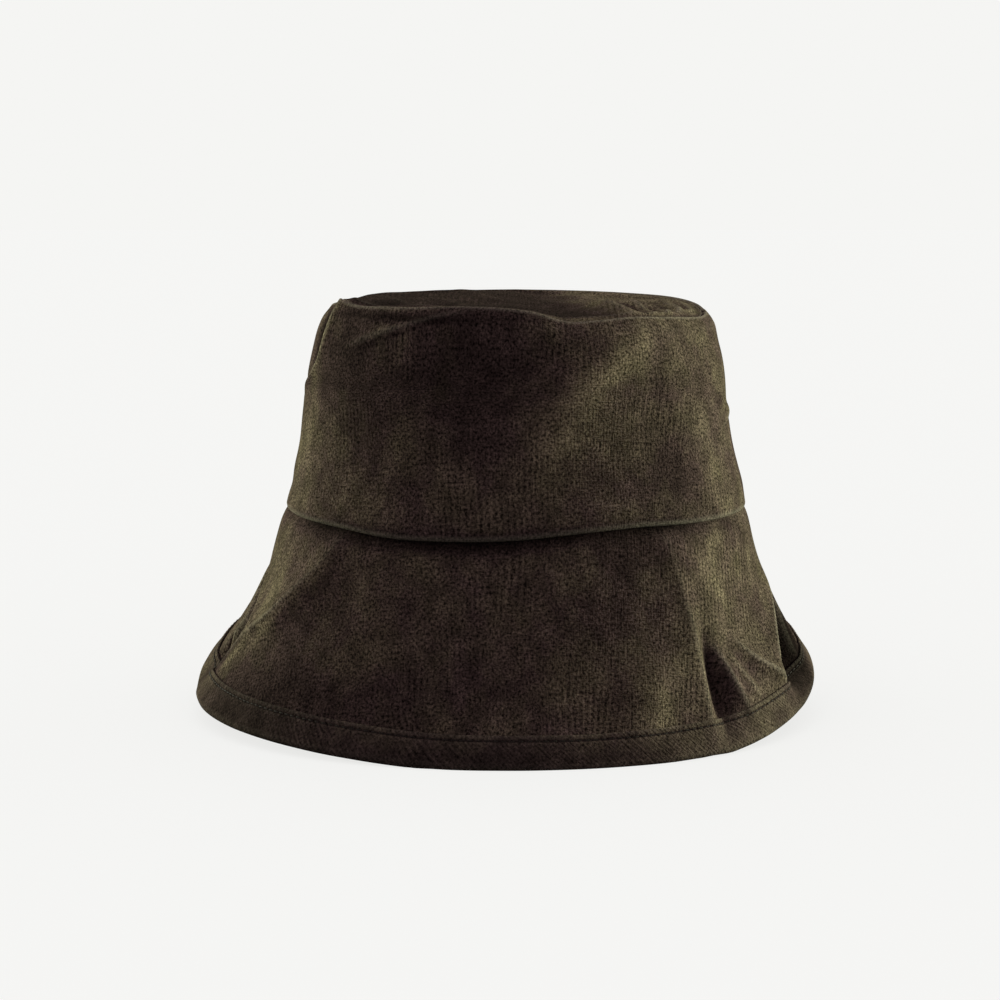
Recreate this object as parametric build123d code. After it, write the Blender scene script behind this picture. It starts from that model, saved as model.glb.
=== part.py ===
"""A soft cotton bucket hat, cut and sewn from separate panels.

Frame: millimetres, +Z up. The origin is on the resting plane under the middle of the hat, and the wearer
faces -Y. Every panel is a thin closed solid with its seam allowances turned in, as sewn. A cross-section is
drawn in the upright half-plane at an angle round the head (0 at the front, +90 at +X) and lofted from one
angle to the next. In a cross-section a ply is a chain of (radius, height) points along the right side of the
cloth, thickened towards its wrong side.
"""

import os
from math import cos, degrees, hypot, radians, sin, sqrt

from build123d import *

# ---- driving dimensions ----
CLOTH = 0.7  # outer cotton
LINING = 0.3  # light lining cloth
INTERLINING = 0.4  # stiffener inside the brim
SWEATBAND = 0.6
BINDING = 0.8  # bias tape round the brim's edge
LABEL = 0.3
THREAD = 0.35  # sewing thread
STITCH_WIDTH = 0.6  # of the row of stitches on the brim's edge
PLY_GAP = 0.15  # air between plies that lie together
SEAM_GAP = 0.5  # air between two panels that butt at an upright seam

TOP_HEIGHT = 170.5  # upper face of the crown's top
BINDING_WIDTH = 11.0
STITCH_INSET = 1.8  # from a binding's border to its row of stitches
LABEL_WIDTH = 27.0
SIDE_LIFT = 8.0  # how far the brim's edge stands off the table at the wearer's sides
LIFT_START = 0.6  # sine of the angle where that lift starts
STATION_STEP = 7.5  # degrees between lofted cross-sections

# ---- outlines: half width, half depth, height, share of the side lift ----
CROWN_LINE = [
    (79.0, 83.2, 170.1, 0),
    (82.2, 86.4, 160.9, 0),
    (85.0, 89.6, 148.5, 0),
    (88.0, 92.8, 127.5, 0),
    (92.3, 97.3, 97.5, 0),
    (95.2, 100.2, 83.0, 0),
    (91.85, 96.85, 85.2, 0),
    (91.85, 96.85, 91.5, 0),
]
TOP_RIM = [(76.65, 80.85, TOP_HEIGHT, 0), (79.95, 84.15, 160.9, 0)]
BRIM_LINE = [
    (91.4, 96.4, 91.5, 0),
    (91.4, 96.4, 84.9, 0),
    (95.9, 100.7, 81.9, 0),
    (100.6, 104.4, 62.0, 0.2),
    (108.2, 110.2, 38.0, 0.5),
    (117.2, 116.6, 20.0, 0.75),
    (127.6, 122.8, 1.4, 1.0),
]
LINING_LINE = [
    (74.8, 78.9, 166.9, 0),
    (77.7, 81.8, 159.7, 0),
    (83.0, 87.2, 148.5, 0),
    (86.0, 90.4, 128.5, 0),
    (88.7, 93.7, 115.5, 0),
    (89.1, 94.1, 85.7, 0),
]
LINING_RIM = [(75.6, 79.7, 167.5, 0), (78.4, 82.5, 160.3, 0)]
SWEATBAND_LINE = [(88.15, 93.1, 114.5, 0), (88.65, 93.65, 85.7, 0)]
LABEL_SPAN = (0.15, 0.7)  # of the sweatband's height, from its top

# ---- level threads: half width, half depth, height ----
CROWN_TOP_THREAD = (77.57, 81.77, 168.7)
LINING_TOP_THREAD = (76.45, 80.55, 163.5)
HEAD_SEAM_THREAD = (91.625, 96.625, 86.5)
SWEATBAND_THREAD = (87.8, 92.8, 87.5)

# ---- plies of the brim, as (near, far) distances from its upper face ----
BRIM_TOP = (0, CLOTH)
STIFFENER = (CLOTH + PLY_GAP, CLOTH + PLY_GAP + INTERLINING)
BRIM_UNDER = (STIFFENER[1] + PLY_GAP, STIFFENER[1] + PLY_GAP + CLOTH)


def lift(angle):
    """Height of the brim's edge off the table: none at the front and back, SIDE_LIFT at the sides."""
    share = max(0.0, (abs(sin(radians(angle))) - LIFT_START) / (1 - LIFT_START))
    return SIDE_LIFT * share * share * (3 - 2 * share)


def section(line, angle):
    """An outline's (radius, height) points in the half-plane at that angle."""
    s, c = sin(radians(angle)), cos(radians(angle))
    return [(a * b / sqrt((b * s) ** 2 + (a * c) ** 2), z + share * lift(angle)) for a, b, z, share in line]


def toward(start, end, distance):
    """The point that far from start on the way to end."""
    share = distance / hypot(end[0] - start[0], end[1] - start[1])
    return tuple(s + share * (e - s) for s, e in zip(start, end))


def offset(chain, distance):
    """The chain moved sideways, towards the head for a chain that runs down the outside."""
    normals = []
    for (r0, z0), (r1, z1) in zip(chain, chain[1:]):
        length = hypot(r1 - r0, z1 - z0)
        normals.append(((z1 - z0) / length, (r0 - r1) / length))
    before, after = normals[:1] + normals, normals + normals[-1:]
    moved = []
    for (r, z), (r0, z0), (r1, z1) in zip(chain, before, after):
        mitre = distance / (1 + r0 * r1 + z0 * z1)
        moved.append((r + mitre * (r0 + r1), z + mitre * (z0 + z1)))
    return moved


def ply(chain, near, far):
    """Closed outline of a ply that lies from near to far beside the chain."""
    return offset(chain, near) + offset(chain, far)[::-1]


def folded(chain):
    """The chain with its first span doubled back on the wrong side, as a seam allowance."""
    return offset(chain[:2], 2 * CLOTH + PLY_GAP)[::-1] + chain


def station(points, angle):
    """A closed wire of (radius, height) points, stood up in the half-plane at that angle."""
    s, c = sin(radians(angle)), cos(radians(angle))
    return Wire.make_polygon([Vector(r * s, -r * c, z) for r, z in points], close=True)


def around(outline, middle, half_turn):
    """Lofts outline(angle) round the head, half_turn degrees to each side of the middle angle."""
    steps = round(2 * half_turn / STATION_STEP)
    angles = [middle - half_turn + 2 * half_turn * step / steps for step in range(steps + 1)]
    return Solid.make_loft([station(outline(angle), angle) for angle in angles])


def seam_share(line, half_turn):
    """Half the turn of a panel, less half of the gap at its seam."""
    return half_turn - degrees(SEAM_GAP / 2 / line[0][0])


def half(line, outline, middle):
    """A panel round the front (middle 0) or the back (middle 180) of the head."""
    return around(lambda angle: outline(section(line, angle)), middle, seam_share(line, 90))


def ring(line, outline):
    """A band right round the head, with its ends meeting at the back."""
    return around(lambda angle: outline(section(line, angle)), 0, seam_share(line, 180))


def cone(rim, inset):
    """The solid inside an outline of two ellipses, made smaller all round by inset."""
    rings = []
    for half_width, half_depth, height, _ in rim:
        plane = Plane.XY.offset(height)
        oval = plane * Ellipse(half_width - inset, half_depth - inset)
        rings.append(oval.face().outer_wire())
    return Solid.make_loft(rings, ruled=True)


def cap(rim, thickness):
    """A flat top with its rim turned down."""
    core = cone(rim, thickness).translate((0, 0, -thickness))
    slot = cone(rim, thickness).translate((0, 0, -2 * thickness))
    return cone(rim, 0) - core - slot


def upright_threads(chain, near):
    """Two threads in the side seams, one to each side of the head, along a chain at the sides."""
    outline = ply(chain, near, near + THREAD)
    faces = [Face(station(outline, angle)) for angle in (90, -90)]
    return [extrude(face, THREAD / 2, both=True) for face in faces]


def crown_outline(chain):
    return ply(folded(chain), 0, CLOTH)


def binding_chain(chain):
    """Right side of the tape: over the brim's edge and back under it."""
    inner, edge = chain[-2:]
    start = toward(edge, inner, BINDING_WIDTH)
    end = toward(edge, inner, -(PLY_GAP + BINDING))
    over = offset([start, end], -(PLY_GAP + BINDING))
    under = offset([start, end], BRIM_UNDER[1] + PLY_GAP + BINDING)
    return over + under[::-1]


def binding():
    """Bias tape folded round the brim's edge, flat where it rests on the table."""
    tape = ring(BRIM_LINE, lambda chain: ply(binding_chain(chain), 0, BINDING))
    table = Pos(0, 0, -TOP_HEIGHT) * Box(4 * TOP_HEIGHT, 4 * TOP_HEIGHT, 2 * TOP_HEIGHT)
    return tape - table


def binding_thread():
    """The row of stitches on the tape, near its upper border."""

    def outline(chain):
        start, end = binding_chain(chain)[:2]
        row = [toward(start, end, STITCH_INSET), toward(start, end, STITCH_INSET + STITCH_WIDTH)]
        return ply(row, -THREAD, 0)

    return ring(BRIM_LINE, outline)


def level_thread(half_width, half_depth, height):
    """A thread in a level seam round the head."""
    outer = Ellipse(half_width + THREAD / 2, half_depth + THREAD / 2)
    inner = Ellipse(half_width - THREAD / 2, half_depth - THREAD / 2)
    return extrude(Pos(0, 0, height) * (outer - inner), THREAD / 2, both=True).solid()


def label():
    """A blank woven label inside the back, over the join of the sweatband."""

    def outline(angle):
        top, bottom = section(SWEATBAND_LINE, angle)
        height = hypot(bottom[0] - top[0], bottom[1] - top[1])
        span = [toward(top, bottom, share * height) for share in LABEL_SPAN]
        return ply(span, SWEATBAND + PLY_GAP, SWEATBAND + PLY_GAP + LABEL)

    return around(outline, 180, degrees(LABEL_WIDTH / 2 / SWEATBAND_LINE[0][1]))


def crown():
    side = section(CROWN_LINE, 90)
    return {
        "crown_top_panel": [cap(TOP_RIM, CLOTH)],
        "crown_front_panel": [half(CROWN_LINE, crown_outline, 0)],
        "crown_back_panel": [half(CROWN_LINE, crown_outline, 180)],
        "crown_side_seam_threads": upright_threads(side[:6], (CLOTH - THREAD) / 2),
        "crown_top_seam_thread": [level_thread(*CROWN_TOP_THREAD)],
    }


def brim():
    side = section(BRIM_LINE, 90)
    parts = {}
    for name, (near, far), line in (
        ("brim_top", BRIM_TOP, BRIM_LINE),
        ("brim_interlining", STIFFENER, BRIM_LINE[1:]),
        ("brim_under", BRIM_UNDER, BRIM_LINE),
    ):
        for place, middle in (("front", 0), ("back", 180)):
            panel = half(line, lambda chain: ply(chain, near, far), middle)
            parts[f"{name}_{place}_panel"] = [panel]
    for name, (near, far) in (("brim_top", BRIM_TOP), ("brim_under", BRIM_UNDER)):
        threads = upright_threads(side[2:], near + (far - near - THREAD) / 2)
        parts[f"{name}_side_seam_threads"] = threads
    parts["brim_edge_binding"] = [binding()]
    parts["brim_edge_binding_thread"] = [binding_thread()]
    return parts


def inside():
    side = section(LINING_LINE, 90)
    return {
        "lining_top_panel": [cap(LINING_RIM, LINING)],
        "lining_front_panel": [half(LINING_LINE, lambda chain: ply(chain, 0, LINING), 0)],
        "lining_back_panel": [half(LINING_LINE, lambda chain: ply(chain, 0, LINING), 180)],
        "lining_top_seam_thread": [level_thread(*LINING_TOP_THREAD)],
        "sweatband": [ring(SWEATBAND_LINE, lambda chain: ply(chain, 0, SWEATBAND))],
        "sweatband_thread": [level_thread(*SWEATBAND_THREAD)],
        "head_seam_thread": [level_thread(*HEAD_SEAM_THREAD)],
        "inside_label": [label()],
    }


def main():
    os.makedirs("parts", exist_ok=True)
    for name, solids in {**crown(), **brim(), **inside()}.items():
        export_step(Compound(solids), f"parts/{name}.step")
        print(name, [round(solid.volume, 1) for solid in solids])


main()
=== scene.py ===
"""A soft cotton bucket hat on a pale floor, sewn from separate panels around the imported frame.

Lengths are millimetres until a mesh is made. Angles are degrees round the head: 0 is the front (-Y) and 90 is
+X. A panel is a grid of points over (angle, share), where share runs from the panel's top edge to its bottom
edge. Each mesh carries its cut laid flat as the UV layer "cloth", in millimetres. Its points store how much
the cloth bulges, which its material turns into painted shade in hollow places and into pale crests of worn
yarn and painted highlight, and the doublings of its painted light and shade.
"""

import math

import bpy
import numpy as np
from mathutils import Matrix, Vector


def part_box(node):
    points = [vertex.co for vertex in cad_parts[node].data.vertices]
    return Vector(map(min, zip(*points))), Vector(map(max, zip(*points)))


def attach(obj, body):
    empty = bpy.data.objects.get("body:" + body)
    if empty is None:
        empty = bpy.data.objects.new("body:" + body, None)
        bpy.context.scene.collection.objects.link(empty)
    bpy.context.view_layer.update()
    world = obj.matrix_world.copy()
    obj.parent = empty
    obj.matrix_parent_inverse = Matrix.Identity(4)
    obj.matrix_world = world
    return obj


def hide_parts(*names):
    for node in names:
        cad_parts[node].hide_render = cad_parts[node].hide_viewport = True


MM = 0.001
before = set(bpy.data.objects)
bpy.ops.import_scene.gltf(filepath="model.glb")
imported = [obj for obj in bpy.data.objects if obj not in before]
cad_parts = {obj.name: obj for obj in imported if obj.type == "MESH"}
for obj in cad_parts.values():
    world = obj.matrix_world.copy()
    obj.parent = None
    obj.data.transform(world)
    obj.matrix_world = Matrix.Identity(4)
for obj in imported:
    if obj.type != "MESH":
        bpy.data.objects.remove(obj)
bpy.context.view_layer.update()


def size_of(node):
    """(half width, half depth, lowest, highest) of a CAD node, in millimetres."""
    low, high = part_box(node)
    return (high.x - low.x) / 2 / MM, (high.y - low.y) / 2 / MM, low.z / MM, high.z / MM


# ---- driving dimensions, from the frame ----
FOLD_A, _, FOLD_Z, _ = size_of("crown_front_panel")
TOP_Z = size_of("crown_top_panel")[3]
EDGE_A, EDGE_B, _, _ = size_of("brim_edge_binding")
BAND_A, BAND_B, BAND_LOW, BAND_HIGH = size_of("sweatband")

# ---- cloth ----
CLOTH = 0.7
LINING = 0.3
INTERLINING = 0.4
SWEATBAND = 0.6
TAPE = 0.5
LABEL = 0.3
PLY_GAP = 0.15
BRIM_STACK = 2 * CLOTH + INTERLINING + 2 * PLY_GAP
TAPE_STAND = 1.15  # from the brim's upper face to the outside of the folded tape on it
BINDING_WIDTH = 10.5
STITCH_INSET = 1.7  # from the tape's border to its row of stitches
SEAM_TURN = 0.06  # degrees from a crown or lining seam to each panel's edge

# ---- form ----
OVAL = 3.6  # the crown is this much deeper than wide, on each side
LEAN = -4.3  # the soft brim's edge lies this far to the side of the crown
SEAM_TOP_Z = TOP_Z - 1.2  # plain level of the crown's top seam
SEAM_A = FOLD_A - 3.3  # half width of the head seam
BRIM_TOP_Z = FOLD_Z + 1.6  # plain level of the brim's start
LIP = 4.5  # how far the brim springs out under the crown's fold
EDGE_STAND = 2.1  # height of the cloth's edge over the table, inside the binding
FOLD_RISE = [  # angle, height of the crown's fold over its lowest level
    (-180, 2.0), (-130, 3.2), (-90, 4.4), (-68, 4.1), (-50, 3.6), (-28, 1.6), (-18, 1.8), (-8, 2.2), (1, 3.0),
    (10, 4.4), (20, 5.6), (30, 6.2), (42, 5.7), (54, 5.2), (67, 5.0), (90, 4.6), (130, 3.4), (180, 2.0),
]


# ---- smooth curves ----
def smooth(x, points):
    """A smooth curve through (x, y) points, level beyond its ends."""
    xs, ys = np.array(points, float).T
    slopes = np.gradient(ys, xs)
    i = np.clip(np.searchsorted(xs, x) - 1, 0, len(xs) - 2)
    step = xs[i + 1] - xs[i]
    u = np.clip((x - xs[i]) / step, 0, 1)
    start = (1 + 2 * u) * (1 - u) ** 2 * ys[i] + u * (1 - u) ** 2 * step * slopes[i]
    end = u * u * (3 - 2 * u) * ys[i + 1] + u * u * (u - 1) * step * slopes[i + 1]
    return start + end


def ease(x):
    """A soft step from 0 to 1."""
    x = np.clip(x, 0, 1)
    return x * x * (3 - 2 * x)


def bell(x):
    return np.exp(-x * x)


def wrap(t):
    """Angles brought back between -180 and 180."""
    return (t + 180) % 360 - 180


def waves(t, s, seed, amplitude, low=2, high=9, down=6.0, count=14):
    """Gentle unevenness of soft cloth: a sum of seeded waves round and down the panel."""
    random = np.random.default_rng(seed)
    total = 0
    for _ in range(count):
        around = random.integers(low, high)
        fall = random.uniform(-down, down)
        phase = random.uniform(0, 2 * math.pi)
        total = total + np.sin(np.radians(t) * around + s * fall + phase) * random.uniform(0.4, 1)
    return amplitude * total / math.sqrt(count)


def crease(t, s, path, height, before, after, crisp, sharp=True):
    """A fold line along path, (share, angle) points, as high as height, (share, mm) points.

    before and after are its widths in degrees on each side; crisp is the rounding of its crest in degrees. A
    sharp one falls away fastest at its crest.
    """
    x = wrap(t - smooth(s, path))
    distance = np.sqrt(x * x + crisp * crisp) - crisp
    flank = np.clip(1 - distance / np.where(x < 0, before, after), 0, 1)
    profile = flank * flank if sharp else ease(flank)
    return smooth(s, height) * profile


def dent(t, s, angle, share, wide, tall, depth):
    """A soft hollow of so much depth, wide in degrees and tall in share."""
    return -depth * bell(wrap(t - angle) / wide) * bell((s - share) / tall)


def folded(t, s, folds, dents):
    """Height of a panel's creases and dents, from tables of what crease and dent take."""
    return sum(crease(t, s, *fold) for fold in folds) + sum(dent(t, s, *place) for place in dents)


def sewn(x, groove, bulge, turn=0.55):
    """Height beside an upright seam, x degrees away: a groove, between the bulges of its seam allowances."""
    return -groove * bell(x / turn) + bulge * (bell((x - 2.6) / 1.9) + bell((x + 2.6) / 1.9))


def fold_rise(t):
    """Height of the crown's fold over its lowest level."""
    return smooth(wrap(t), FOLD_RISE)


# ---- the crown ----
CROWN_A = [  # share of the crown, half width
    (0, FOLD_A - 17.4), (0.04, FOLD_A - 15.2), (0.1, FOLD_A - 13.2), (0.2, FOLD_A - 10.9),
    (0.35, FOLD_A - 8.3), (0.5, FOLD_A - 6.9), (0.65, FOLD_A - 5.4), (0.8, FOLD_A - 3.0),
    (0.9, FOLD_A - 1.1), (1, FOLD_A + 0.4),
]
SEAM_RISE = [  # angle, height of the top seam over its plain level
    (-180, 1.6), (-140, 1.2), (-112, 0.6), (-95, 0.2), (-84, 1.0), (-76, 2.2), (-68, 4.0), (-60, 2.6),
    (-38, 2.6), (-5, 3.2), (5, 1.6), (14, -2.0), (24, -2.0), (34, -1.2), (52, -2.3), (78, -4.2),
    (90, -3.6), (103, -1.6), (120, 0.2), (140, 1.0), (180, 1.6),
]
LEFT_SEAM = [  # share of the crown, angle: the left side seam leans forward at the top
    (0, -66.5), (0.1, -67.5), (0.18, -69), (0.24, -70.5), (0.31, -75), (0.38, -84), (0.45, -89), (0.55, -90),
    (1, -90),
]


def left_seam(s):
    """Angle of the crown's left side seam."""
    return smooth(s, LEFT_SEAM)


CROWN_FOLDS = [  # path, height, widths before and after it, rounding of its crest, whether it is sharp
    # a soft diagonal fold from the top right down to the middle
    ([(0, 40), (0.06, 38), (0.17, 28), (0.29, 16), (0.45, 8.5), (0.63, 3), (0.82, -1), (1, -3)],
     [(0, 0.2), (0.12, 1.9), (0.4, 3.0), (0.62, 2.1), (0.85, 0.3), (1, 0)], 20, 19, 2.4, False),
    # slack under the pinch at the right side seam
    ([(0.46, 88), (0.62, 62)], [(0.44, 0), (0.49, 0.9), (0.58, 0)], 5, 5, 0.8, False),
    # soft folds under the top seam
    ([(0, -12), (0.06, -30), (0.11, -42), (0.2, -56)],
     [(0, 0), (0.05, 0.8), (0.11, 1.0), (0.2, 0)], 8, 6, 1, False),
    # slack at the back
    ([(0, 150), (0.5, 165), (1, 176)], [(0, 0), (0.2, 1.2), (0.5, 1.8), (0.9, 0)], 20, 16, 4, False),
    ([(0, -128), (0.5, -142), (1, -150)], [(0, 0), (0.3, 1.0), (0.6, 1.5), (0.9, 0)], 16, 18, 4, False),
]
CROWN_DENTS = [  # angle, share, half width, half height, depth
    # both sides of the diagonal fold
    (38, 0.5, 9, 0.28, 1.5), (1, 0.25, 13, 0.25, 1.5),
    # the pinch at the right side seam
    (90, 0.475, 2.6, 0.03, 3.0), (92, 0.47, 14, 0.16, 0.9),
    # under the top seam, at the left and at the back
    (-30, 0.05, 22, 0.03, 0.5), (-38, 0.5, 12, 0.35, 0.8), (-92, 0.9, 28, 0.08, 1.1),
    (-165, 0.4, 12, 0.3, 1.3),
]


def crown_relief(t, s):
    """Height of the crown's folds over its plain form."""
    relief = waves(t, s, 3, 0.35) + waves(t, s, 31, 0.09, 12, 40, 24, 24)
    relief = (relief + folded(t, s, CROWN_FOLDS, CROWN_DENTS)) * ease(s / 0.05 + 0.3)
    # the top's corners: drawn in at the left, full at the right
    relief += dent(t, s, -100, -0.03, 26, 0.09, 2.4) + dent(t, s, 97, 0.04, 34, 0.08, -1.6)
    # the tuck beside the left side seam, and the gap behind it
    seam = wrap(t - left_seam(s))
    relief += crease(seam, s, [(0, 1.6), (1, 1.6)], [(0, 1.4), (0.2, 1.8), (0.31, 1.3), (0.42, 0)],
                     1.8, 13, 0.4)
    relief += crease(seam, s, [(0, -2.6), (1, -2.6)], [(0, -1.8), (0.2, -3.2), (0.3, -2), (0.42, 0)],
                     9, 2.6, 0.8)
    relief += sewn(seam, 1.1, 0.35) + sewn(wrap(t - 90), 0.9, 0.35)
    return relief * ease((1.06 - s) / 0.2)


def crown_base(t, s):
    """Points of the crown's plain form."""
    a = smooth(s, CROWN_A)
    b = a + OVAL + 1.2 * (1 - s)
    rise = smooth(wrap(t), SEAM_RISE) * (1 - ease(s / 0.25))
    z = SEAM_TOP_Z - (SEAM_TOP_Z - FOLD_Z) * s + rise + fold_rise(t) * ease((s - 0.6) / 0.4)
    angle = np.radians(t)
    return np.stack([a * np.sin(angle), -b * np.cos(angle), z], -1)


# ---- the brim ----
EDGE_LIFT = [  # angle, height of the brim's edge over the table
    (-180, 1.0), (-150, 6), (-128, 17), (-112, 21), (-97, 13.5), (-88, 8.0), (-78, 6.6), (-60, 5.4),
    (-45, 4.2), (-30, 2.4), (-12, 0.3), (0, 0), (30, 0), (45, 1.2), (60, 6.0), (78, 12.5), (90, 16.5),
    (100, 20), (112, 23), (128, 20), (150, 8), (180, 1.0),
]
BRIM_FOLDS = [  # path, height, widths before and after it, rounding of its crest, whether it is sharp
    # left: a sharp fold, a flat facet that narrows beyond it, then the deep flute at the side seam
    ([(0, -44), (0.16, -47.5), (0.32, -54), (0.5, -61), (0.6, -68), (0.67, -73), (0.76, -77), (0.87, -81),
      (1, -84)],
     [(0, 0.3), (0.12, 1.8), (0.35, 5.0), (0.5, 5.6), (0.6, 4.0), (0.67, 2.4), (0.76, 1.5), (0.87, 0.7),
      (1, 0.1)], 24, 15, 0.35, True),
    ([(0, -90), (0.35, -80), (0.5, -73.5), (0.6, -70), (0.66, -69.5), (0.75, -72), (1, -75)],
     [(0, 0), (0.3, 0.4), (0.42, 1.0), (0.52, 0.6), (0.6, 0), (1, 0)], 4, 9, 0.5, True),
    ([(0, -98), (0.35, -88), (0.5, -80), (0.6, -78), (0.67, -80), (0.76, -83.5), (0.87, -86.5), (1, -89)],
     [(0, 0), (0.2, -0.4), (0.34, -2.5), (0.46, -6.5), (0.58, -10.5), (0.7, -11), (0.8, -7), (0.9, -2),
      (1, -0.2)], 7, 5.4, 0.8, False),
    # right: the last fold before the side seam and the deep flute beyond it
    ([(0, 86), (0.4, 82), (0.5, 77), (0.66, 68.5), (0.79, 64.5), (0.9, 64), (1, 66)],
     [(0, 0), (0.3, 0.6), (0.5, 2.2), (0.8, 3.0), (0.9, 0.8), (1, 0)], 14, 4.5, 0.5, True),
    ([(0, 95), (0.4, 89), (0.5, 84.5), (0.66, 76), (0.79, 72.5), (1, 73)],
     [(0, 0), (0.25, -0.4), (0.45, -5), (0.66, -9.5), (0.8, -10), (0.9, -5), (0.96, -1.5), (1, -0.3)],
     6.8, 9.5, 1.0, False),
    # right: flutes fanning out from under the crown
    ([(0, 35), (0.12, 37), (0.28, 38.2), (0.45, 39.4), (0.6, 39.6)],
     [(0, 0.2), (0.12, 2.0), (0.3, 3.4), (0.5, 2.2), (0.7, 0)], 10, 24, 0.7, True),
    ([(0, 35), (0.28, 38.2), (0.6, 39.6), (0.8, 39.2), (1, 38.6)],
     [(0.3, 0), (0.5, 1.6), (0.8, 3.2), (0.92, 1.8), (1, 0.2)], 18, 4, 0.4, True),
    ([(0, 40), (0.5, 43.2), (0.8, 43.8), (1, 43)],
     [(0.25, 0), (0.45, -1.4), (0.7, -4.0), (0.84, -4.2), (0.92, -1.8), (1, -0.2)], 4.5, 3.2, 0.7, True),
    ([(0.5, 43.6), (0.58, 45.4), (0.83, 49.2), (1, 51)],
     [(0.5, 0), (0.65, 2.4), (0.84, 2.2), (0.93, 0.2), (1, 0)], 3.0, 4.5, 0.35, True),
    ([(0.55, 48), (0.83, 54.3), (1, 57)],
     [(0.55, 0), (0.76, 1.6), (0.93, 0.1), (1, 0)], 2.4, 2.6, 0.35, True),
    ([(0.5, 51), (0.66, 56.5), (0.86, 64.5), (1, 68)],
     [(0.5, 0), (0.7, 2.5), (0.84, 1.8), (0.93, 0.1), (1, 0)], 3.8, 4.5, 0.35, True),
    ([(0.45, 28.5), (0.62, 27), (0.76, 24.8), (1, 22.5)],
     [(0.45, 0), (0.66, 1.7), (0.86, 1.4), (0.95, 0.3), (1, 0)], 7, 9, 0.9, False),
]
BRIM_DENTS = [  # angle, share, half width, half height, depth
    (14, 0.78, 8, 0.2, 1.0), (92, 0.2, 26, 0.22, 1.5), (60, 0.35, 12, 0.25, 1.0), (-25, 0.6, 18, 0.3, 1.2),
]
BACK_FLUTES = [  # angle at the top, degrees leaned over its length, height
    (128, 6, 2.4), (152, 9, 1.7), (-172, -5, 2.2), (-146, -9, 1.8), (-122, -7, 2.6),
]


def brim_relief(t, s):
    """Height of the brim's folds over its plain form."""
    relief = waves(t, s, 8, 0.5) + waves(t, s, 32, 0.1, 12, 44, 24, 24)
    relief += folded(t, s, BRIM_FOLDS, BRIM_DENTS)
    for angle, lean, height in BACK_FLUTES:
        relief += crease(t, s, [(0.1, angle), (1, angle + lean)],
                         [(0.1, 0), (0.5, height * 0.6), (0.85, height), (1, height * 0.3)], 12, 9, 1.8)
    relief += (sewn(wrap(t - 90), 0.7, 0.3) + sewn(wrap(t + 90), 0.7, 0.3)) * ease((0.94 - s) / 0.12)
    return relief * ease(s / 0.1)


def brim_base(t, s):
    """Points of the brim's plain form: an upright allowance above share 0, then a flare down to the edge."""
    down = np.maximum(s, 0)
    side = np.sin(np.radians(t)) ** 2
    flare = down - (0.32 + 0.26 * side) * down * (1 - down)
    recess = bell(wrap(t + 10) / 60)
    lip = (1 - recess) * (1 - np.exp(-down / 0.05)) + recess * (1 - bell(down / 0.085))
    square = 1 + 0.012 * down * np.sin(np.radians(2 * t)) ** 2
    a = (SEAM_A + LIP * lip + (EDGE_A - 0.8 - SEAM_A - LIP) * flare) * square
    b = SEAM_A + OVAL - 0.8 + (LIP - 0.6) * lip + (EDGE_B + 1.3 - SEAM_A - OVAL - LIP + 1.4) * flare
    b = b * square
    lift = smooth(wrap(t), EDGE_LIFT) + EDGE_STAND
    z = BRIM_TOP_Z + (lift - BRIM_TOP_Z) * s + fold_rise(t) * (1 - ease(s / 0.35))
    angle = np.radians(t)
    return np.stack([a * np.sin(angle) + LEAN * down ** 1.5, -b * np.cos(angle), z], -1)


# ---- painted light and shade on the cloth ----
PAINTED_LIGHT_PATCHES = [  # angle, fall, half width, half height, degrees leaned for each unit of fall, doublings of paleness (painted light above 0, painted shade below)
    # the crown
    (34, 0.12, 9, 0.12, -90, 0.3), (58, 0.68, 12, 0.2, 0, 0.25), (34, 0.45, 10, 0.25, 0, -0.2),
    (18, 0.34, 8, 0.16, -70, 0.85), (8, 0.58, 8, 0.16, -32, 0.7), (-73, 0.12, 2.4, 0.17, -20, -2.4),
    (-65.5, 0.13, 1.2, 0.18, -20, 1.0), (-12, 0.24, 20, 0.27, 0, -0.85), (-52, 0.16, 13, 0.26, 0, -0.9),
    (-46, 0.5, 12, 0.25, 0, -0.35), (40, 0.8, 11, 0.22, 0, -0.8), (70, 0.45, 3, 0.03, 0, -0.4),
    (-36, 0.012, 26, 0.02, 0, -1.5), (-72, 0.75, 9, 0.4, 0, 0.3),
    # painted shadow under the crown's fold
    (-12, 1.03, 50, 0.04, 0, -1.8), (-54, 1.018, 9, 0.022, 0, -1.4), (37, 1.018, 10, 0.022, 0, -1.6),
    # the brim
    (26, 1.14, 7, 0.1, 0, -0.9), (20, 1.4, 10, 0.16, 0, -0.5), (-46, 1.4, 8, 0.5, 0, -0.3),
    (50, 1.25, 6, 0.2, 10, 0.4), (30, 1.74, 11, 0.18, 0, 0.15), (46.5, 1.76, 3, 0.18, 6, -0.35),
    (-58, 1.42, 1.6, 0.24, -44, 0.7), (-67, 1.38, 7, 0.22, -34, 0.45), (-81.5, 1.67, 4.5, 0.14, -28, -2.2),
    (-75, 1.7, 1.8, 0.1, -45, 0.8), (82, 1.66, 7, 0.19, -45, -3.4), (76, 1.95, 9, 0.08, 0, 1.0),
    (-60, 1.9, 17, 0.2, 0, -1.0), (-54, 1.74, 14, 0.16, 0, -0.4), (-42, 1.74, 11, 0.13, 0, -0.4),
    (37, 1.67, 4, 0.14, 0, 0.35), (54, 1.72, 7, 0.14, 0, 0.35), (28, 1.78, 1.6, 0.12, -8, 0.6),
    (-20, 1.72, 14, 0.16, 0, -0.4), (-10, 1.97, 36, 0.07, 0, -0.8),
]
NARROW = 5  # patches with a smaller half width keep off the crown's top
TOP_REACH = 62  # wide patches fade out over the top from this radius to its middle


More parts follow.
